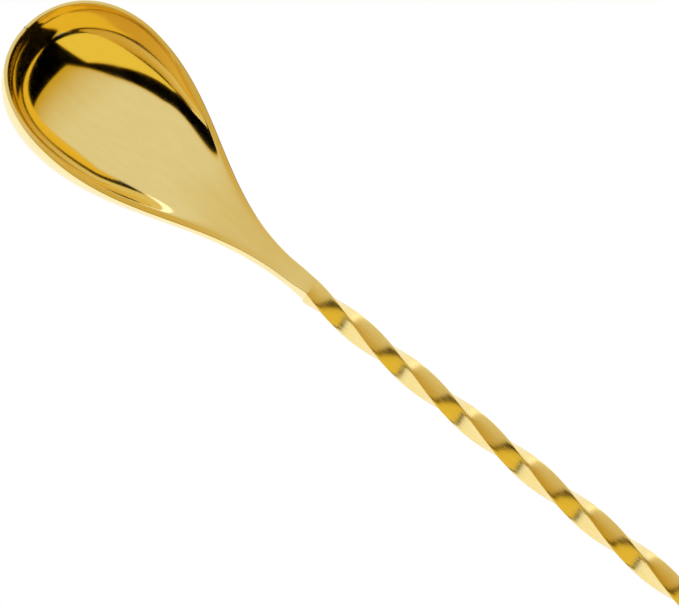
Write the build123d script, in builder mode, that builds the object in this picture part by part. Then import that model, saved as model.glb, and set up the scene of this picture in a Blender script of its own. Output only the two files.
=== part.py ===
# A bar spoon: a teardrop bowl pressed from thick sheet, a twisted square stem
# butt-joined to its neck, and a turned drop that balances it at the far end.
#
# Millimetres. The spoon lies bowl up on the plane z = 0 with its stem level
# along +X: it rests on the belly of the bowl and on the underside of the drop.
# The origin is on that plane, below the middle of the spoon's length.

from build123d import *
import math
import os

# ---- overall ----
overall_length = 300.0
bowl_and_neck_length = 58.0  # bowl tip to the joint with the stem

# ---- bowl ----
bowl_width = 27.6
bowl_depth = 11.59  # rim to the outside of the belly, at the deepest place
widest_from_tip = 14.8
deepest_from_tip = 11.5
outside_spread = 12.5  # how slowly the belly fades into the neck
cavity_spread = 12.3  # the same for the cavity
bowl_wall = 1.1  # at the deepest place
rim_land_at_tip = 0.6  # flat ground on the edge of the rim
rim_land_at_side = 0.7  # it widens from here to the neck
rim_height_at_tip = 8.15  # heights of the rim are above the stem's axis
rim_height_at_widest = 7.4
rim_slope_at_widest = 0.22
neck_bend_height = 0.9  # the lower handle of the curve from rim to neck

# ---- neck ----
neck_width = 3.45
neck_thickness = 2.0
neck_top_height = 1.35  # above the stem's axis, so nearly flush with the bar's top
neck_length = 3.5  # from the flattened neck to the full square of the stem
cutter_rise = 2.0  # how far the cavity's cutter stands above the rim

# ---- stem ----
stem_side = 3.0
twist_pitch = 45.7  # one full right-hand turn

# ---- drop and its collar ----
drop_radius = 3.6
drop_length = 22.0
drop_root_radius = 1.7
collar_length = 3.0
collar_radius = 2.6
collar_edge_radius = 0.5
tenon_radius = 1.1
tenon_depth = 9.0  # how far the stem's tenon goes into the drop
tenon_clearance = 0.02  # on the radius, in the collar and the drop
tenon_end_gap = 0.5  # left at the bottom of the drop's hole

# ---- places that follow from the sizes ----
tip_x = -overall_length / 2
joint_x = tip_x + bowl_and_neck_length
drop_end_x = overall_length / 2
drop_start_x = drop_end_x - drop_length
collar_start_x = drop_start_x - collar_length
stem_length = collar_start_x - joint_x
axis_z = drop_radius  # the stem's axis is level, one drop radius above the table
neck_start = bowl_and_neck_length - neck_length

# ---- section shapes, as powers of the sine and cosine of a half circle ----
ROUND = 0.93  # 1 is an ellipse; less is fuller at the corners
SQUARE = 0.2
FADED = 3.4  # the cavity's edge melts into the flat of the neck
square_from, square_to = 8.0, 54.0  # distances from the tip for round to square
fade_from, fade_to = 23.0, 44.0  # and for the cavity's edge to fade

# ---- handles of the cubic curves, as shares of the lengths that they span ----
TIP_HANDLE = 0.63  # across the tip; a quarter circle has 0.55
FRONT_HANDLE = 0.56
BACK_HANDLE = 0.38
CAVITY_BACK_HANDLE = 0.33  # less than the outside's, so that the land widens
NECK_HANDLE = 0.41


def cubic(values, t):
    """The value at t, from 0 to 1, of the cubic curve with four control values."""
    p0, p1, p2, p3 = values
    s = 1 - t
    return p0 * s**3 + 3 * p1 * s**2 * t + 3 * p2 * s * t**2 + p3 * t**3


def ease(value, start, end):
    """Rises smoothly from 0 at start to 1 at end."""
    share = min(1, max(0, (value - start) / (end - start)))
    return share**2 * (3 - 2 * share)


def depth_at(along, start, deepest, spread, neck_depth):
    """Depth below the rim: a quarter ellipse, then a bell curve down to the neck's."""
    if along < deepest_from_tip:
        share = (deepest_from_tip - along) / (deepest_from_tip - start)
        return deepest * math.sqrt(1 - share**2)
    bell = math.exp(-(((along - deepest_from_tip) / spread) ** 2) / 2)
    return neck_depth + (deepest - neck_depth) * bell


def bowl_curves(tip_inset, side_inset, back_handle, neck_half_width):
    """Two rows of control values: tip to widest place, widest place to neck.

    They give the distance from the tip, the half width, and the rim's height
    above the stem's axis.
    """
    half_width = bowl_width / 2 - side_inset
    front = FRONT_HANDLE * (widest_from_tip - tip_inset)
    back = back_handle * (neck_start - widest_from_tip)
    neck = NECK_HANDLE * (neck_start - widest_from_tip)
    tip_to_widest = (
        (tip_inset, tip_inset, widest_from_tip - front, widest_from_tip),
        (0, TIP_HANDLE * half_width, half_width, half_width),
        (
            rim_height_at_tip,
            rim_height_at_tip,
            rim_height_at_widest + rim_slope_at_widest * front,
            rim_height_at_widest,
        ),
    )
    widest_to_neck = (
        (widest_from_tip, widest_from_tip + back, neck_start - neck, neck_start),
        (half_width, half_width, neck_half_width, neck_half_width),
        (
            rim_height_at_widest,
            rim_height_at_widest - rim_slope_at_widest * back,
            neck_bend_height,
            neck_top_height,
        ),
    )
    return tip_to_widest, widest_to_neck


def front_station(curves, t):
    """The section plane at t, its half width and its distance, tip to widest place."""
    along, half_width, height = (cubic(row, t) for row in curves)
    slope = rim_slope_at_widest * t
    return leaning_plane(along, height, slope), half_width, along


def back_station(curves, t):
    """The same from the widest place to the neck, square to the rim line."""
    along, half_width, height = (cubic(row, t) for row in curves)
    before, after = max(0, t - 0.02), min(1, t + 0.02)
    run = cubic(curves[0], after) - cubic(curves[0], before)
    fall = cubic(curves[2], before) - cubic(curves[2], after)
    return leaning_plane(along, height, fall / run), half_width, along


def square_to_axis(x):
    """A plane across the stem's axis at x."""
    return Plane(origin=(x, 0, axis_z), x_dir=(0, 1, 0), z_dir=(1, 0, 0))


def leaning_plane(along, height, slope):
    """A plane across the bowl that leans towards the tip by slope as it goes down."""
    return Plane(
        origin=(tip_x + along, 0, axis_z + height), x_dir=(0, 1, 0), z_dir=(1, 0, -slope)
    )


def under_curve(half_width, depth, side_power, floor_power):
    """Points of a U from one edge of the rim, down and up to the other edge."""
    steps = 16
    points = []
    for i in range(steps + 1):
        angle = math.pi * i / steps
        across = math.copysign(abs(math.cos(angle)) ** side_power, math.cos(angle))
        down = math.sin(angle) ** floor_power if 0 < i < steps else 0
        points.append((half_width * across, -depth * down))
    return points


def section(plane, half_width, depth, side_power, floor_power, rise=0):
    """A U-shaped section on the plane, closed across the top at a height of rise."""
    left, right = (-half_width, 0), (half_width, 0)
    with BuildSketch(plane) as sketch:
        with BuildLine():
            Spline(*under_curve(half_width, depth, side_power, floor_power))
            if rise:
                Polyline(right, (half_width, rise), (-half_width, rise), left)
            else:
                Line(right, left)
        make_face()
    return sketch.sketch


# ---- bowl and neck: lofted through sections square to the rim, less the cavity ----
outside = bowl_curves(0, 0, BACK_HANDLE, neck_width / 2)
inside = bowl_curves(
    rim_land_at_tip, rim_land_at_side, CAVITY_BACK_HANDLE, neck_width / 2 - rim_land_at_side
)
front_stations = (0.08, 0.2, 0.36, 0.55, 0.78)
back_stations = (0, 0.12, 0.25, 0.4, 0.55, 0.7, 0.85, 1)
places = [(0, front_station, t) for t in front_stations]
places += [(1, back_station, t) for t in back_stations]

outer_sections = []
cavity_sections = []
for stretch, station, t in places:
    plane, half_width, along = station(outside[stretch], t)
    depth = depth_at(along, 0, bowl_depth, outside_spread, neck_thickness)
    power = ROUND + (SQUARE - ROUND) * ease(along, square_from, square_to)
    outer_sections.append(section(plane, half_width, depth, power, power))
    plane, half_width, along = station(inside[stretch], t)
    depth = depth_at(along, rim_land_at_tip, bowl_depth - bowl_wall, cavity_spread, 0)
    power = ROUND + (FADED - ROUND) * ease(along, fade_from, fade_to)
    cavity_sections.append(section(plane, half_width, depth, ROUND, power, cutter_rise))
stem_top = leaning_plane(bowl_and_neck_length, stem_side / 2, 0)
outer_sections.append(section(stem_top, stem_side / 2, stem_side, SQUARE, SQUARE))

with BuildPart() as bowl:
    loft(outer_sections)
    loft(cavity_sections, mode=Mode.SUBTRACT)

# ---- stem: a square swept along its axis as a helix turns it, with a turned tenon ----
with BuildPart() as stem:
    with BuildLine() as axis:
        Line((joint_x, 0, axis_z), (collar_start_x, 0, axis_z))
    with BuildLine() as guide:
        Helix(
            pitch=twist_pitch,
            height=stem_length,
            radius=stem_side,
            center=(joint_x, 0, axis_z),
            direction=(1, 0, 0),
        )
    with BuildSketch(square_to_axis(joint_x)):
        Rectangle(stem_side, stem_side)
    sweep(path=axis.line, binormal=guide.edge())
    with BuildSketch(square_to_axis(collar_start_x)):
        Circle(tenon_radius)
    extrude(amount=collar_length + tenon_depth)

# ---- collar: a turned ring over the tenon, against the square end of the stem ----
with BuildPart() as collar:
    with BuildSketch(square_to_axis(collar_start_x)):
        Circle(collar_radius)
        Circle(tenon_radius + tenon_clearance, mode=Mode.SUBTRACT)
    extrude(amount=collar_length)
    rims = collar.edges().filter_by(GeomType.CIRCLE).group_by(SortBy.RADIUS)[-1]
    fillet(rims, radius=collar_edge_radius)

# ---- drop: turned, with its point against the collar and a ball at the end ----
ball_x = drop_end_x - drop_radius
with BuildPart() as drop:
    with BuildSketch(Plane.XZ) as half_drop:
        with BuildLine():
            shoulder = (ball_x, axis_z + drop_radius)
            Line((drop_start_x, axis_z), (drop_start_x, axis_z + drop_root_radius))
            Spline(
                (drop_start_x, axis_z + drop_root_radius),
                shoulder,
                tangents=((1, 0.05), (1, 0)),
            )
            RadiusArc(shoulder, (drop_end_x, axis_z), drop_radius)
            Line((drop_end_x, axis_z), (drop_start_x, axis_z))
        make_face()
    revolve(axis=Axis((0, 0, axis_z), (1, 0, 0)))
    with BuildSketch(square_to_axis(drop_start_x)):
        Circle(tenon_radius + tenon_clearance)
    extrude(amount=tenon_depth + tenon_end_gap, mode=Mode.SUBTRACT)

# ---- write each piece ----
os.makedirs("parts", exist_ok=True)
for name, piece in (
    ("bowl", bowl),
    ("stem", stem),
    ("collar", collar),
    ("drop", drop),
):
    piece.part.label = name
    export_step(piece.part, f"parts/{name}.step")
    box = piece.part.bounding_box()
    print(name, piece.part.is_valid, round(piece.part.volume, 1), box)
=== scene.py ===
# %% [markdown]
# A bar spoon lies on a pale table: a teardrop bowl pressed from thick sheet, a square bar
# twisted along its length, and a turned drop with a collar at the far end, all plated in gold.
# The design of the spoon is already fixed elsewhere, so this file starts by loading it as a
# frame, and then builds a finer visible skin for each piece in exactly the same place.
# Lengths are in metres, with +Z up and +X running from the bowl to the drop.

# %% The fixed frame
import math

import bmesh
import bpy
import numpy as np
from mathutils import Matrix, Vector


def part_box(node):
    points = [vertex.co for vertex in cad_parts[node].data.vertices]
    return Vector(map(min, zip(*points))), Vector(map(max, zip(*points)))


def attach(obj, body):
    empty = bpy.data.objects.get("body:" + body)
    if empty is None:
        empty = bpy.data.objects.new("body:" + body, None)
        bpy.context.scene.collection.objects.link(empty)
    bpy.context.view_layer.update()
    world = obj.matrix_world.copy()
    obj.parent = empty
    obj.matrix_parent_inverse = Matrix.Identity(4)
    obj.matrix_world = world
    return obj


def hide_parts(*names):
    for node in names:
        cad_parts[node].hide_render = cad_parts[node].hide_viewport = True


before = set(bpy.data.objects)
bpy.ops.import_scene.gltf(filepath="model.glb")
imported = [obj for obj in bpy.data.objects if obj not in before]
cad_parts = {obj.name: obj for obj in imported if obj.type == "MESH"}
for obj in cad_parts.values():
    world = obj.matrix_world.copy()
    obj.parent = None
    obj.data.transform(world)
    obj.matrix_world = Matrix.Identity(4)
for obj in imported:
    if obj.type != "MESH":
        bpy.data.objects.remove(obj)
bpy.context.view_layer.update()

MM = 0.001
bowl_box, stem_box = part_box("bowl"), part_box("stem")
collar_box, drop_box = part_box("collar"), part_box("drop")

# %% [markdown]
# Every later cell needs the same few moves: start with nothing selected, go in and out of
# edit mode, select edges or faces by where they are, and read a mesh's points as an array.
# They are kept as small helpers so that the cells read like the steps of modelling by hand.

# %% Helpers for modelling by operators


def clear_selection():
    """The frame's nodes are selected after loading, and an operator acts on all selected."""
    if bpy.context.object and bpy.context.object.mode == "EDIT":
        bpy.ops.object.mode_set(mode="OBJECT")
    bpy.ops.object.select_all(action="DESELECT")


def only(piece):
    clear_selection()
    piece.select_set(True)
    bpy.context.view_layer.objects.active = piece


def pick(piece, kind, test):
    """In edit mode, selects the faces, edges or vertices whose middle passes the test."""
    bpy.ops.mesh.select_mode(type={"faces": "FACE", "edges": "EDGE", "verts": "VERT"}[kind])
    bpy.ops.mesh.select_all(action="DESELECT")
    mesh = bmesh.from_edit_mesh(piece.data)
    found = 0
    for part in getattr(mesh, kind):
        if test(part):
            part.select_set(True)
            found += 1
    mesh.select_flush_mode()
    bmesh.update_edit_mesh(piece.data)
    return found


def points_of(piece):
    flat = np.zeros(3 * len(piece.data.vertices))
    piece.data.vertices.foreach_get("co", flat)
    return flat.reshape(-1, 3)


def finish_piece(piece, node, smooth_angle=30):
    """Bakes the place into the mesh, shades it, and hands it to the frame."""
    only(piece)
    bpy.ops.object.transform_apply(location=True, rotation=True, scale=True)
    bpy.ops.object.shade_smooth_by_angle(angle=math.radians(smooth_angle))
    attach(piece, "root")
    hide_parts(node)
    low, high = points_of(piece).min(0), points_of(piece).max(0)
    size = [round(float(x) / MM, 2) for x in high - low]
    print(piece.name, len(piece.data.polygons), "faces, size in mm", size)


# %% [markdown]
# The bowl was drawn as two families of cubic curves, one for the outside and one for the
# cavity: how far along the spoon a section stands, how wide it is, how high its rim is and
# how deep it goes. A press tool is cut from curves like these. The same curves are used
# here, so that the visible skin lies on the designed one, only far smoother.

# %% The curves of the bowl
BOWL_WIDTH = 27.6
BOWL_DEPTH = 11.59
WIDEST, DEEPEST = 14.8, 11.5  # distances from the tip, as all lengths along the bowl are
WALL = 1.1
CAVITY_SPREAD, OUTSIDE_SPREAD = 12.3, 12.5  # how slowly the depth fades to the neck
LAND_AT_TIP, LAND_AT_SIDE = 0.6, 0.7
RIM_AT_TIP, RIM_AT_WIDEST = 8.15, 7.4  # heights above the stem's axis
RIM_SLOPE = 0.22  # how steeply the rim falls at the widest place
NECK_START, JOINT = 54.5, 58.0
NECK_HALF_WIDTH, NECK_THICKNESS = 1.725, 2.0
NECK_TOP, NECK_BEND = 1.35, 0.9  # the neck's top, and the handle of the curve down to it
STEM_SIDE = 3.0
HANDLES = {"tip": 0.63, "front": 0.56, "back": 0.38, "cavity": 0.33, "neck": 0.41}
tip_x = bowl_box[0].x
axis_z = (stem_box[0].z + stem_box[1].z) / 2


def cubic(values, t):
    p0, p1, p2, p3 = values
    s = 1 - t
    return p0 * s**3 + 3 * p1 * s**2 * t + 3 * p2 * s * t**2 + p3 * t**3


def cubic_slope(values, t):
    p0, p1, p2, p3 = values
    s = 1 - t
    return 3 * ((p1 - p0) * s**2 + 2 * (p2 - p1) * s * t + (p3 - p2) * t**2)


def bowl_depth(along, start, depth, spread, neck_depth):
    """A quarter ellipse from the tip to the deepest place, then a bell curve to the neck."""
    if along < DEEPEST:
        return depth * math.sqrt(1 - ((DEEPEST - along) / (DEEPEST - start)) ** 2)
    bell = math.exp(-(((along - DEEPEST) / spread) ** 2) / 2)
    return neck_depth + (depth - neck_depth) * bell


def bowl_curves(tip_inset, side_inset, back_handle, neck_half_width):
    """Control values of distance, half width and rim height, for three stretches."""
    half_width = BOWL_WIDTH / 2 - side_inset
    front = HANDLES["front"] * (WIDEST - tip_inset)
    back = back_handle * (NECK_START - WIDEST)
    neck = HANDLES["neck"] * (NECK_START - WIDEST)
    stem_top = STEM_SIDE / 2
    neck_rise = (NECK_TOP - NECK_BEND) / neck * (JOINT - NECK_START) / 3
    run = (JOINT - NECK_START) / 3
    end_width = STEM_SIDE / 2 - (NECK_HALF_WIDTH - neck_half_width)
    tip_to_widest = (
        (tip_inset, tip_inset, WIDEST - front, WIDEST),
        (0, HANDLES["tip"] * half_width, half_width, half_width),
        (RIM_AT_TIP, RIM_AT_TIP, RIM_AT_WIDEST + RIM_SLOPE * front, RIM_AT_WIDEST),
    )
    widest_to_neck = (
        (WIDEST, WIDEST + back, NECK_START - neck, NECK_START),
        (half_width, half_width, neck_half_width, neck_half_width),
        (RIM_AT_WIDEST, RIM_AT_WIDEST - RIM_SLOPE * back, NECK_BEND, NECK_TOP),
    )
    neck_to_joint = (
        (NECK_START, NECK_START + run, JOINT - run, JOINT),
        (neck_half_width, neck_half_width, end_width, end_width),
        (NECK_TOP, NECK_TOP + neck_rise, stem_top, stem_top),
    )
    return tip_to_widest, widest_to_neck, neck_to_joint


outside = bowl_curves(0, 0, HANDLES["back"], NECK_HALF_WIDTH)
cavity_neck = NECK_HALF_WIDTH - LAND_AT_SIDE
cavity = bowl_curves(LAND_AT_TIP, LAND_AT_SIDE, HANDLES["cavity"], cavity_neck)
print("bowl tip at", round(tip_x / MM, 2), "mm, stem axis", round(axis_z / MM, 2), "mm up")

# %% [markdown]
# A section of the bowl is a U of two skins joined by the land, the flat that is ground on
# the rim. Polishing takes the sharpness off both edges of the land, and that soft edge is
# what catches a thin bright line all round a real spoon. It is made by averaging each point
# of the section with its neighbours for a sixth of a millimetre either way, which rounds
# the two corners and leaves the long curves where they are.

# %% One half section of the bowl
FULLNESS = 0.05  # how much fuller than an ellipse the bowl's section is
SQUARENESS = 0.5  # the same for the neck, as square as it can be without bulging
FADE = 3.4  # power of the cavity's edge where it has melted into the neck
SQUARE_FROM, SQUARE_TO = 8.0, 54.0  # distances over which the outside gets square
FADE_FROM, FADE_TO = 23.0, 44.0  # and over which the cavity's edge fades
EDGE = 0.16  # half the length of a softened edge
OUTSIDE_STEPS, CAVITY_STEPS = 42, 38  # faces down the outside and down the cavity
CORNER = (-1.0, -0.6, -0.3, 0.0, 0.3, 0.6, 1.0)  # places round a softened edge
CORNER_REACH = 0.3  # how far those places go from the edge, where there is room
SKIN_SHARE, LAND_SHARE = 0.4, 0.45  # and where there isn't, as shares of skin and land
FINE_STEPS, LAND_STEPS = 400, 60  # points of a skin and of the land before they are averaged
NO_WIDTH = 1e-6  # keeps the average at the two ends from dividing by nothing


def ease(value, start, end):
    """Rises smoothly from 0 at start to 1 at end."""
    share = min(1.0, max(0.0, (value - start) / (end - start)))
    return share * share * (3 - 2 * share)


def skin(rows, t, depth, slope, fullness, power, angles):
    """Points of half a U, given from the rim (angle 0) to the keel (a quarter turn)."""
    along, half_width, height = (cubic(row, t) for row in rows)
    lean = math.hypot(1, slope)
    sine, cosine = np.sin(angles), np.cos(angles)
    across = half_width * cosine * (1 + fullness * sine**2)
    down = depth * sine**power * (1 + fullness * cosine**2) / lean
    return np.stack([along - slope * down, across, height - down], axis=1)


def half_section(stretch, t):
    """Points from the keel up the outside, over the land and down into the cavity."""
    rows, inner_rows = outside[stretch], cavity[stretch]
    if stretch == 0:
        slope = RIM_SLOPE * t
    else:
        slope = -cubic_slope(rows[2], t) / cubic_slope(rows[0], t)
    along, inner_along = cubic(rows[0], t), cubic(inner_rows[0], t)
    fullness = FULLNESS + (SQUARENESS - FULLNESS) * ease(along, SQUARE_FROM, SQUARE_TO)
    power = 1 + (FADE - 1) * ease(inner_along, FADE_FROM, FADE_TO)
    deep = bowl_depth(along, 0, BOWL_DEPTH, OUTSIDE_SPREAD, NECK_THICKNESS)
    if stretch == 2:
        deep += (STEM_SIDE - NECK_THICKNESS) * ease(t, 0, 1)
    inner_deep = bowl_depth(inner_along, LAND_AT_TIP, BOWL_DEPTH - WALL, CAVITY_SPREAD, 0)
    turn = np.linspace(0, math.pi / 2, FINE_STEPS)
    outer = skin(rows, t, deep, slope, fullness, 1.0, turn)[::-1]
    inner = skin(inner_rows, t, inner_deep, slope, FULLNESS, power, turn)
    land = np.linspace(outer[-1], inner[0], LAND_STEPS)[1:-1]
    fine = np.concatenate([outer, land, inner])
    step = np.linalg.norm(np.diff(fine, axis=0), axis=1)
    place = np.concatenate([[0], np.cumsum(step)])
    rim, edge, end = place[len(outer) - 1], place[len(outer) + len(land)], place[-1]
    middles = (fine[1:] + fine[:-1]) / 2 * step[:, None]
    total = np.concatenate([[[0, 0, 0]], np.cumsum(middles, axis=0)])
    land_reach = min(CORNER_REACH, LAND_SHARE * (edge - rim))
    outer_reach = min(land_reach, SKIN_SHARE * rim)
    inner_reach = min(land_reach, SKIN_SHARE * (end - edge))
    wanted = np.concatenate(
        [
            np.linspace(0, rim - outer_reach, OUTSIDE_STEPS, endpoint=False),
            rim + outer_reach * np.array(CORNER),
            [(rim + edge) / 2],
            edge + inner_reach * np.array(CORNER),
            np.linspace(edge + inner_reach, end, CAVITY_STEPS + 1)[1:],
        ]
    )
    window = np.minimum(EDGE, np.minimum(wanted, end - wanted))
    window = np.maximum(window, NO_WIDTH)
    before, after = np.maximum(wanted - window, 0), np.minimum(wanted + window, end)
    section = np.empty((len(wanted), 3))
    for k in range(3):
        swept = np.interp(after, place, total[:, k]) - np.interp(before, place, total[:, k])
        section[:, k] = swept / (after - before)
    section[0], section[-1] = fine[0], fine[-1]
    return section


print("a section has", len(half_section(1, 0.5)), "points on each side")

# %% [markdown]
# The skin itself could be a subdivided cage, but a mirror shows every ripple of a cage, so
# the bowl starts from a flat grid instead. Its rows are laid on sections from the tip to
# the joint, a third of a millimetre apart, and it is mirrored across the middle. At the tip
# the first row shrinks to the front edge itself, and merging the doubles closes it there.

# %% Bowl and neck
STRETCHES = ((0, 52), (1, 112), (2, 14))  # how many sections each stretch gets
TOUCHING = 0.001 * MM  # points this near to each other are one
sections = []
for stretch, count in STRETCHES:
    first = 0 if stretch == 0 else 1
    for i in range(first, count + 1):
        sections.append(half_section(stretch, i / count))
sections = np.array(sections)
rows, around = sections.shape[:2]

clear_selection()
bpy.ops.mesh.primitive_grid_add(x_subdivisions=around - 1, y_subdivisions=rows - 1, size=2)
bowl = bpy.context.object
bowl.name = "bowl_skin"
grid = points_of(bowl)
column = np.rint((grid[:, 0] + 1) / 2 * (around - 1)).astype(int)
row = np.rint((grid[:, 1] + 1) / 2 * (rows - 1)).astype(int)
laid = sections[row, column] * MM + np.array([tip_x, 0, axis_z])
bowl.data.vertices.foreach_set("co", laid.ravel())
mirror = bowl.modifiers.new("other side", "MIRROR")
mirror.use_axis = (False, True, False)
mirror.merge_threshold = TOUCHING
bpy.ops.object.modifier_apply(modifier=mirror.name)
bpy.ops.object.mode_set(mode="EDIT")
bpy.ops.mesh.select_all(action="SELECT")
bpy.ops.mesh.remove_doubles(threshold=TOUCHING / 2)
end_x = tip_x + JOINT * MM
pick(bowl, "edges", lambda e: e.is_boundary and abs(e.verts[0].co.x - end_x) < TOUCHING)
bpy.ops.mesh.edge_face_add()
bpy.ops.mesh.select_all(action="SELECT")
bpy.ops.mesh.normals_make_consistent(inside=False)
open_edges = pick(bowl, "edges", lambda e: e.is_boundary)
bpy.ops.object.mode_set(mode="OBJECT")
finish_piece(bowl, "bowl")
print("open edges left in the bowl:", open_edges)

# %% [markdown]
# The stem is square bar, gripped at both ends and wound. Blender can do just that: a long
# box with its four long edges softened, cut into short lengths, and twisted by a Simple
# Deform modifier. The twist is measured from the object's origin, so the origin stays at
# the joint until the modifier is applied. The round tenon at its end hides in the drop.

# %% Twisted stem
TWIST_PITCH = 45.7 * MM
ARRIS, ARRIS_FACES = 0.13 * MM, 3  # softening of the bar's edges
ACROSS_CUTS, LENGTH_CUTS = 7, (20, 20)  # cuts in the bar, the second 20 in each piece of the first
TENON_RADIUS, TENON_SIDES = 1.1 * MM, 48
TENON_CHAMFER = 0.2 * MM
joint_x, collar_x = stem_box[0].x, collar_box[0].x
tenon_end = stem_box[1].x
stem_length = collar_x - joint_x
clear_selection()
bpy.ops.mesh.primitive_cube_add(
    size=1,
    location=(stem_length / 2, 0, 0),
    scale=(stem_length, STEM_SIDE * MM, STEM_SIDE * MM),
)
stem = bpy.context.object
stem.name = "stem_skin"
bpy.ops.object.transform_apply(location=True, scale=True)
bpy.ops.object.mode_set(mode="EDIT")


def runs_along_x(edge):
    span = edge.verts[0].co - edge.verts[1].co
    return abs(span.x) > 10 * math.hypot(span.y, span.z)


def runs_across(edge):
    span = edge.verts[0].co - edge.verts[1].co
    return not runs_along_x(edge) and span.length > STEM_SIDE * MM / 2


pick(stem, "edges", runs_along_x)
bpy.ops.mesh.bevel(offset=ARRIS, segments=ARRIS_FACES, affect="EDGES")
pick(stem, "edges", runs_across)
bpy.ops.mesh.subdivide(number_cuts=ACROSS_CUTS)
for cuts in LENGTH_CUTS:
    pick(stem, "edges", runs_along_x)
    bpy.ops.mesh.subdivide(number_cuts=cuts)
bpy.ops.object.mode_set(mode="OBJECT")
twist = stem.modifiers.new("wind the bar", "SIMPLE_DEFORM")
twist.deform_method = "TWIST"
twist.deform_axis = "X"
twist.angle = 2 * math.pi * stem_length / TWIST_PITCH
bpy.ops.object.modifier_apply(modifier=twist.name)
stem.location = (joint_x, 0, axis_z)
clear_selection()
bpy.ops.mesh.primitive_cylinder_add(
    vertices=TENON_SIDES,
    radius=TENON_RADIUS,
    depth=tenon_end - collar_x,
    location=((collar_x + tenon_end) / 2, 0, axis_z),
    rotation=(0, math.pi / 2, 0),
)
tenon = bpy.context.object
bpy.ops.object.mode_set(mode="EDIT")
pick(tenon, "faces", lambda f: len(f.verts) > 4 and f.calc_center_median().z > 0)
bpy.ops.mesh.bevel(offset=TENON_CHAMFER, segments=2, affect="EDGES")
bpy.ops.object.mode_set(mode="OBJECT")
tenon.select_set(True)
stem.select_set(True)
bpy.context.view_layer.objects.active = stem
bpy.ops.object.join()
finish_piece(stem, "stem", smooth_angle=40)

# %% [markdown]
# The collar is a ring turned on a lathe. It starts as a short cylinder along the spoon.
# Insetting the two ends by the ring's thickness and bridging the inner loops bores the hole,
# and beveling the two outer rims gives the rounded shoulders that a turner files by hand.

# %% Collar
BORE_CLEARANCE = 0.02 * MM
COLLAR_EDGE, COLLAR_EDGE_FACES = 0.5 * MM, 6  # the rounding of its shoulders
TURNED_SIDES = 96  # enough for a turned piece to look round
SAME_PLACE = 0.01 * MM
bore = TENON_RADIUS + BORE_CLEARANCE
collar_radius = (collar_box[1].y - collar_box[0].y) / 2
collar_length = collar_box[1].x - collar_box[0].x
clear_selection()
bpy.ops.mesh.primitive_cylinder_add(
    vertices=TURNED_SIDES,
    radius=collar_radius,
    depth=collar_length,
    location=((collar_box[0].x + collar_box[1].x) / 2, 0, axis_z),
    rotation=(0, math.pi / 2, 0),
)
collar = bpy.context.object
collar.name = "collar_ring"
bpy.ops.object.transform_apply(location=True, rotation=True, scale=True)


def on_radius(part, radius):
    return all(
        abs(math.hypot(v.co.y, v.co.z - axis_z) - radius) < SAME_PLACE for v in part.verts
    )


def across_x(edge):
    return abs(edge.verts[0].co.x - edge.verts[1].co.x) < SAME_PLACE


bpy.ops.object.mode_set(mode="EDIT")
pick(collar, "faces", lambda f: abs(f.normal.x) > 0.9)
bpy.ops.mesh.inset(thickness=collar_radius - bore)
pick(collar, "faces", lambda f: abs(f.normal.x) > 0.9 and len(f.verts) > 4)
bpy.ops.mesh.delete(type="FACE")
pick(collar, "edges", lambda e: e.is_boundary)
bpy.ops.mesh.bridge_edge_loops()
pick(collar, "edges", lambda e: across_x(e) and on_radius(e, collar_radius))
bpy.ops.mesh.bevel(offset=COLLAR_EDGE, segments=COLLAR_EDGE_FACES, affect="EDGES")
bpy.ops.mesh.select_all(action="SELECT")
bpy.ops.mesh.normals_make_consistent(inside=False)
bpy.ops.object.mode_set(mode="OBJECT")
finish_piece(collar, "collar")

# %% [markdown]
# The drop is turned too: a slim cone that swells into a ball, heavy enough to balance the
# bowl and to crush sugar with. It could be spun from a profile, but extruding a circle
# station by station and scaling it each time shows the same thing with plain moves. The
# hole for the tenon is an inset of the first face, pushed in.

# %% Drop
ROOT_RADIUS = 1.7 * MM
ROOT_SLOPE = 0.05  # how fast the cone widens where it leaves the collar
HOLE_DEPTH = 9.5 * MM
CONE_STATIONS, BALL_STATIONS = 40, 30
drop_radius = (drop_box[1].y - drop_box[0].y) / 2
cone_length = drop_box[1].x - drop_radius - drop_box[0].x


def drop_profile():
    """Pairs of distance from the root and radius: a cubic cone, then a quarter circle."""
    handle = cone_length / 3
    radii = (ROOT_RADIUS, ROOT_RADIUS + ROOT_SLOPE * handle, drop_radius, drop_radius)
    for i in range(CONE_STATIONS + 1):
        t = i / CONE_STATIONS
        yield cone_length * t, cubic(radii, t)
    for i in range(1, BALL_STATIONS):
        turn = math.pi / 2 * i / BALL_STATIONS
        yield cone_length + drop_radius * math.sin(turn), drop_radius * math.cos(turn)


clear_selection()
bpy.ops.mesh.primitive_circle_add(
    vertices=TURNED_SIDES,
    radius=ROOT_RADIUS,
    fill_type="NGON",
    location=(drop_box[0].x, 0, axis_z),
    rotation=(0, math.pi / 2, 0),
)
drop = bpy.context.object
drop.name = "drop_turned"
bpy.ops.object.transform_apply(location=True, rotation=True, scale=True)
bpy.ops.object.mode_set(mode="EDIT")
bpy.ops.mesh.select_all(action="SELECT")
profile = list(drop_profile())
for (x, radius), (next_x, next_radius) in zip(profile, profile[1:]):
    bpy.ops.mesh.extrude_region_move(
        TRANSFORM_OT_translate={"value": (next_x - x, 0, 0)}
    )
    scale = next_radius / radius
    bpy.ops.transform.resize(
        value=(1, scale, scale), center_override=(drop_box[0].x + next_x, 0, axis_z)
    )
bpy.ops.mesh.extrude_region_move(
    TRANSFORM_OT_translate={"value": (drop_radius + cone_length - profile[-1][0], 0, 0)}
)
bpy.ops.mesh.merge(type="CENTER")
pick(drop, "faces", lambda f: len(f.verts) == TURNED_SIDES)
bpy.ops.mesh.inset(thickness=ROOT_RADIUS - bore)
bpy.ops.mesh.extrude_region_move(TRANSFORM_OT_translate={"value": (HOLE_DEPTH, 0, 0)})
bpy.ops.mesh.select_all(action="SELECT")
bpy.ops.mesh.normals_make_consistent(inside=False)
bpy.ops.object.mode_set(mode="OBJECT")
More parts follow.
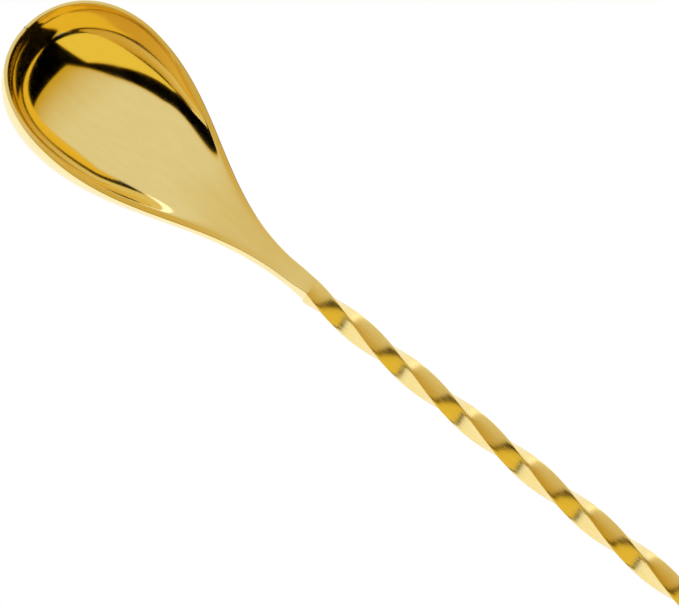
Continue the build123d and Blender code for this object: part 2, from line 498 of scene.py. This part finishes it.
finish_piece(drop, "drop")

# %% [markdown]
# A material is a small net of nodes. Colours are written as the hex codes that a designer
# would pick on a screen, and one function turns them to the linear light that the shader
# works in. One function adds a node, with its settings and the links into it. An empty
# material and a colour ramp's stops have a helper each.

# %% Helpers for materials


def linear(code):
    """A hex sRGB colour as linear red, green, blue and alpha."""
    parts = [int(code[i : i + 2], 16) / 255 for i in (1, 3, 5)]
    return [p / 12.92 if p <= 0.04045 else ((p + 0.055) / 1.055) ** 2.4 for p in parts] + [1]


def node(material, kind, settings=(), links=()):
    """Adds one node: settings are (socket or property, value), links are (socket, output)."""
    tree = material.node_tree
    made = tree.nodes.new(kind)
    for name, value in settings:
        if isinstance(name, int) or name in made.inputs:
            made.inputs[name].default_value = value
        else:
            setattr(made, name, value)
    for name, output in links:
        tree.links.new(output, made.inputs[name])
    return made


def blank(name):
    """A new material with no nodes in it."""
    material = bpy.data.materials.new(name)
    material.use_nodes = True
    material.node_tree.nodes.clear()
    return material


def stops(ramp, colours):
    """Sets a colour ramp's stops from (place, hex colour) pairs."""
    while len(ramp.color_ramp.elements) < len(colours):
        ramp.color_ramp.elements.new(1.0)
    for element, (place, code) in zip(ramp.color_ramp.elements, colours):
        element.position = place
        element.color = linear(code)


# %% [markdown]
# All four pieces are stainless steel under a few thousandths of a millimetre of gold, and
# what differs is how the steel was worked first. The bowl and the drop are buffed on a
# wheel, so they are mirrors with faint soft streaks. The stem and its collar keep the
# grain of drawn bar, so they are satin: their reflections are blurred along fine lines.
# Both are made the same way. A noise stretched along the spoon stands for the marks, and
# it shifts the colour and the roughness a little and lifts the surface by a micrometre or
# so. Real marks are a few hundredths of a millimetre wide, too fine to show, so they are
# drawn coarser here: 1.2 mm for the buffing streaks and 0.25 mm for the drawn lines.

# %% Gold, polished and satin
MARKS = (0.3, 0.7)  # the part of the noise's range that is used
MARK_DETAIL, MARK_BREAKUP = 3.0, 0.6
BUFFED_STREAK = (6, 1.2, 1.2)  # length, width and height of a mark in mm
DRAWN_LINE = (5, 0.25, 0.25)
BUFFED_RELIEF, DRAWN_RELIEF = 0.001, 0.003  # mm


def gold_finish(name, darker, lighter, roughness, mark, relief):
    """Gold whose colour, roughness and surface follow one stretched noise."""
    material = blank(name)
    place = node(material, "ShaderNodeTexCoord")
    stretched = node(
        material,
        "ShaderNodeMapping",
        [("Scale", [1 / (length * MM) for length in mark])],
        [(0, place.outputs["Object"])],
    )
    marks = node(
        material,
        "ShaderNodeTexNoise",
        [("Scale", 1.0), ("Detail", MARK_DETAIL), ("Roughness", MARK_BREAKUP)],
        [("Vector", stretched.outputs[0])],
    )
    tone = node(material, "ShaderNodeValToRGB", [], [(0, marks.outputs[0])])
    stops(tone, [(MARKS[0], darker), (MARKS[1], lighter)])
    dulled = node(
        material,
        "ShaderNodeMapRange",
        [
            ("From Min", MARKS[0]),
            ("From Max", MARKS[1]),
            ("To Min", roughness[0]),
            ("To Max", roughness[1]),
        ],
        [("Value", marks.outputs[0])],
    )
    lifted = node(
        material,
        "ShaderNodeBump",
        [("Strength", 0.5), ("Distance", relief * MM)],
        [("Height", marks.outputs[0])],
    )
    shader = node(
        material,
        "ShaderNodeBsdfPrincipled",
        [("Metallic", 1.0)],
        [
            ("Base Color", tone.outputs[0]),
            ("Roughness", dulled.outputs[0]),
            ("Normal", lifted.outputs[0]),
        ],
    )
    node(material, "ShaderNodeOutputMaterial", [], [("Surface", shader.outputs[0])])
    return material


# Buffed gold plate: a clear mirror, pale where it meets white and deep where it doesn't.
polished = gold_finish(
    "polished_gold_plate", "#FCE9A8", "#FFEEB4", (0.07, 0.12), BUFFED_STREAK, BUFFED_RELIEF
)
# Plated drawn bar: a soft sheen along the spoon, a shade deeper than the buffed gold.
satin = gold_finish(
    "satin_gold_plate", "#F6DC8C", "#FFE9A4", (0.2, 0.3), DRAWN_LINE, DRAWN_RELIEF
)
for piece, material in ((bowl, polished), (stem, satin), (collar, satin), (drop, polished)):
    piece.data.materials.clear()
    piece.data.materials.append(material)
    print(piece.name, "is", material.name)

# %% [markdown]
# The table is a sheet of opal acrylic lit from below, as in a studio for small goods. It
# glows evenly, so the spoon casts no shadow on it, and every face of the gold that looks
# down or sideways picks up its white as a pale cream.

# %% Lit table
TABLE_SIZE = 12
clear_selection()
bpy.ops.mesh.primitive_plane_add(size=TABLE_SIZE, location=(0, 0, 0))
floor = bpy.context.object
floor.name = "floor"
white = blank("lit_white_table")
shader = node(white, "ShaderNodeEmission", [("Color", linear("#FFFFFF")), ("Strength", 1.0)])
node(white, "ShaderNodeOutputMaterial", [], [("Surface", shader.outputs[0])])
floor.data.materials.append(white)
print("table", TABLE_SIZE, "m square")

# %% [markdown]
# A mirror is seen by what it reflects, so the lights over it are shaped and not pointed. A
# cloth scrim hangs level above the bowl and two soft lights shine on it. The main one
# covers most of the scrim, dims towards the stem and stops short above the handle, and the
# dark beyond that stop is the black curve in the tip of the bowl. The second is a warmer
# patch on the near side, and the dark between the two is the black line across the bowl.
# On the scrim, u and v are distances from the middle of the bowl along and across the
# spoon, as shares of the scrim's height, so they are slopes of the reflected rays. Each
# light is a product of smooth edges, and a ramp turns that into its colour.

# %% Scrim above the bowl
SCRIM_HEIGHT = 0.35
SCRIM_SIZE = 4
BOWL_MIDDLE_FROM_TIP = 15 * MM
MAIN_SLOPE, WARM_SLOPE = 0.45, 1.2  # of the slanting edge of each light, v against u
MAIN_RAMP = ((0, "#000000"), (0.15, "#3A2400"), (0.42, "#C8A428"), (1.0, "#DFD8BE"))
WARM_RAMP = ((0, "#000000"), (0.3, "#3A2400"), (0.7, "#C8A030"), (1.0, "#E8CC58"))
bowl_middle = Vector((tip_x + BOWL_MIDDLE_FROM_TIP, 0, 0))
clear_selection()
bpy.ops.mesh.primitive_plane_add(
    size=SCRIM_SIZE, location=bowl_middle + Vector((0, 0, SCRIM_HEIGHT))
)
ceiling = bpy.context.object
ceiling.name = "ceiling"
scrim = blank("lit_scrims")
place = node(scrim, "ShaderNodeTexCoord")
scaled = node(
    scrim,
    "ShaderNodeMapping",
    [("Scale", (1 / SCRIM_HEIGHT, 1 / SCRIM_HEIGHT, 1))],
    [(0, place.outputs["Object"])],
)
axes = node(scrim, "ShaderNodeSeparateXYZ", [], [(0, scaled.outputs[0])])
u, v = axes.outputs["X"], axes.outputs["Y"]
main_line, warm_line = (
    node(scrim, "ShaderNodeMath", [("operation", "MULTIPLY_ADD"), (1, -slope)], [(0, u), (2, v)])
    for slope in (MAIN_SLOPE, WARM_SLOPE)
)
print("scrim", SCRIM_SIZE, "m square,", SCRIM_HEIGHT, "m up")

# %% Two lights on the scrim
MAIN_EDGES = (  # what changes, from where, to where, and the two levels
    (u, -0.5, 0.66, 1, 0.42),
    (u, 0.58, 0.7, 1, 0),
    (main_line.outputs[0], -0.42, -0.26, 0, 1),
)
WARM_EDGES = (
    (v, -0.44, -0.32, 1, 0),
    (warm_line.outputs[0], -0.82, -0.6, 1, 0),
)
lights = []
for edges, colours in ((MAIN_EDGES, MAIN_RAMP), (WARM_EDGES, WARM_RAMP)):
    level = None
    for value, start, end, low, high in edges:
        edge = node(
            scrim,
            "ShaderNodeMapRange",
            [
                ("interpolation_type", "SMOOTHSTEP"),
                ("From Min", start),
                ("From Max", end),
                ("To Min", low),
                ("To Max", high),
            ],
            [("Value", value)],
        ).outputs[0]
        if level is None:
            level = edge
        else:
            product = node(
                scrim, "ShaderNodeMath", [("operation", "MULTIPLY")], [(0, level), (1, edge)]
            )
            level = product.outputs[0]
    ramp = node(scrim, "ShaderNodeValToRGB", [], [(0, level)])
    stops(ramp, colours)
    lights.append(ramp.outputs[0])
both = node(scrim, "ShaderNodeVectorMath", [("operation", "ADD")], list(enumerate(lights)))
glow = node(scrim, "ShaderNodeEmission", [("Strength", 1.0)], [("Color", both.outputs[0])])
node(scrim, "ShaderNodeOutputMaterial", [], [("Surface", glow.outputs[0])])
ceiling.data.materials.append(scrim)
print(len(lights), "lights on the scrim,", len(scrim.node_tree.nodes), "nodes")

# %% [markdown]
# A white card stands on the far side, from the table up to the scrim. It is what the far
# edge of the rim and the back of the stem see, and it keeps them pale. The card and the
# scrim are only for the gold to reflect: the camera doesn't see them.

# %% Card behind
CARD_WIDTH, CARD_STRENGTH = 2.2, 1.3
CARD_PLACE = Vector((-0.9, 1.4, SCRIM_HEIGHT / 2))  # from below the middle of the bowl
clear_selection()
bpy.ops.mesh.primitive_plane_add(
    size=1, location=bowl_middle + CARD_PLACE, rotation=(math.pi / 2, 0, 0)
)
wall = bpy.context.object
wall.name = "back_wall"
wall.scale = (CARD_WIDTH, SCRIM_HEIGHT, 1)
card = blank("white_card")
glow = node(
    card, "ShaderNodeEmission", [("Color", linear("#FFFFFF")), ("Strength", CARD_STRENGTH)]
)
node(card, "ShaderNodeOutputMaterial", [], [("Surface", glow.outputs[0])])
wall.data.materials.append(card)
for panel in (ceiling, wall):
    panel.visible_camera = False
print("card", CARD_WIDTH, "m wide and", SCRIM_HEIGHT, "m high")

# %% [markdown]
# Past the end of the table the camera sees white too, but the gold sees a dark studio
# there: the world is lit for camera rays only. The view transform stays plain, so that
# white paper comes out as white.

# %% World
world = bpy.data.worlds.new("studio")
bpy.context.scene.world = world
world.use_nodes = True
tree = world.node_tree
path = tree.nodes.new("ShaderNodeLightPath")
backdrop = tree.nodes["Background"]
backdrop.inputs["Color"].default_value = (1, 1, 1, 1)
tree.links.new(path.outputs["Is Camera Ray"], backdrop.inputs["Strength"])
bpy.context.scene.view_settings.view_transform = "Standard"
print("world", world.name)

# %% [markdown]
# The camera looks down steeply at the bowl and the first part of the stem, from far away
# through a long lens, as goods are shot so that nothing looks stretched. Three angles place
# it: how far it leans from straight above towards the front, how far it leans along the
# spoon, and how far it is rolled, which puts the bowl at the upper left and runs the stem
# down to the lower right.

# %% Camera
LEAN, ALONG, ROLL = math.radians(26.86), math.radians(7), math.radians(39.15)
DISTANCE = 2.0
AIM_FROM_TIP = 60 * MM
AIM_RIGHT, AIM_UP = 2.78 * MM, -0.54 * MM
LENS, SENSOR = 706, 36
NEAREST, FARTHEST = 0.01, 100
towards = Vector(
    (math.sin(ALONG), -math.sin(LEAN) * math.cos(ALONG), math.cos(LEAN) * math.cos(ALONG))
)
level_up = Vector((0, math.cos(LEAN), math.sin(LEAN)))
right = level_up.cross(towards).normalized()
up = towards.cross(right)
turned_right = math.cos(ROLL) * right + math.sin(ROLL) * up
turned_up = math.cos(ROLL) * up - math.sin(ROLL) * right
aim = Vector((tip_x + AIM_FROM_TIP, 0, axis_z)) + AIM_RIGHT * turned_right + AIM_UP * turned_up
camera_data = bpy.data.cameras.new("camera")
camera_data.lens, camera_data.sensor_width = LENS, SENSOR
camera_data.clip_start, camera_data.clip_end = NEAREST, FARTHEST
camera = bpy.data.objects.new("camera", camera_data)
bpy.context.scene.collection.objects.link(camera)
facing = Matrix((turned_right, turned_up, towards)).transposed().to_4x4()
camera.matrix_world = Matrix.Translation(aim + DISTANCE * towards) @ facing
bpy.context.scene.camera = camera
print("camera", DISTANCE, "m away with a", LENS, "mm lens")
